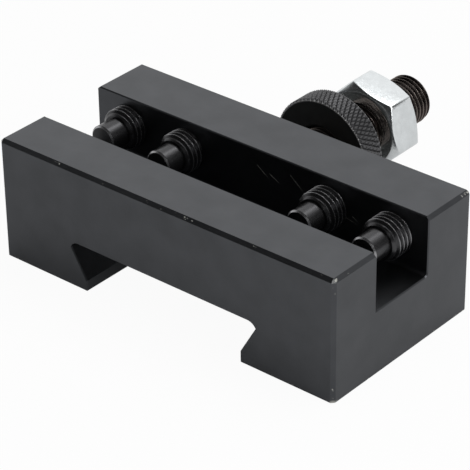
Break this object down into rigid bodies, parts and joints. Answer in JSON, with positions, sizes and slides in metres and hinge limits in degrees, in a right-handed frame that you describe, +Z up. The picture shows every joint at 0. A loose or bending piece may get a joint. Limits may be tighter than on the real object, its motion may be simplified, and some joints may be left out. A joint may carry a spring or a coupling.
{
  "type": "turning tool holder",
  "caption": "Turning tool holder: steel block with an open tool slot clamped by dog-point set screws, a dovetail underneath and a height stud with a knurled thumb nut and lock nut.",
  "frame": {"origin": "centre of the dovetail's mouth in the mounting face, midway between the ends and between the front and back faces", "axes": "+X along the holder's length, +Y across it towards the height stud, +Z up out of the mounting face towards the open tool slot"},
  "size_m": [0.075, 0.072, 0.0256],
  "materials": {
    "holder_body": "satin black oxide on milled steel",
    "set_screws": "bright black oxide on steel",
    "height_stud": "black oxide on steel, faintly brown",
    "thumb_nut": "black oxide on knurled steel",
    "lock_nut": "bright zinc"
  },
  "bodies": {
    "holder": {"holder_body": "holder_body", "height_stud": "height_stud"},
    "screw_1": {"set_screw_1": "set_screws"},
    "screw_2": {"set_screw_2": "set_screws"},
    "screw_3": {"set_screw_3": "set_screws"},
    "screw_4": {"set_screw_4": "set_screws"},
    "height_nut": {"thumb_nut": "thumb_nut"},
    "jam_nut": {"lock_nut": "lock_nut"}
  },
  "joints": [
    {"name": "set_screw_1_travel", "type": "slide", "parent": "holder", "child": "screw_1", "axis": [0, 1, 0], "range_m": [-0.0071, 0.0071]},
    {"name": "set_screw_2_travel", "type": "slide", "parent": "holder", "child": "screw_2", "axis": [0, 1, 0], "range_m": [-0.0065, 0.0077]},
    {"name": "set_screw_3_travel", "type": "slide", "parent": "holder", "child": "screw_3", "axis": [0, 1, 0], "range_m": [-0.0061, 0.0081]},
    {"name": "set_screw_4_travel", "type": "slide", "parent": "holder", "child": "screw_4", "axis": [0, 1, 0], "range_m": [-0.00605, 0.00815]},
    {"name": "thumb_nut_travel", "type": "slide", "parent": "holder", "child": "height_nut", "axis": [0, 1, 0], "range_m": [-0.0061, 0.003]},
    {"name": "lock_nut_travel", "type": "slide", "parent": "holder", "child": "jam_nut", "axis": [0, 1, 0], "range_m": [-0.003, 0.009]}
  ]
}
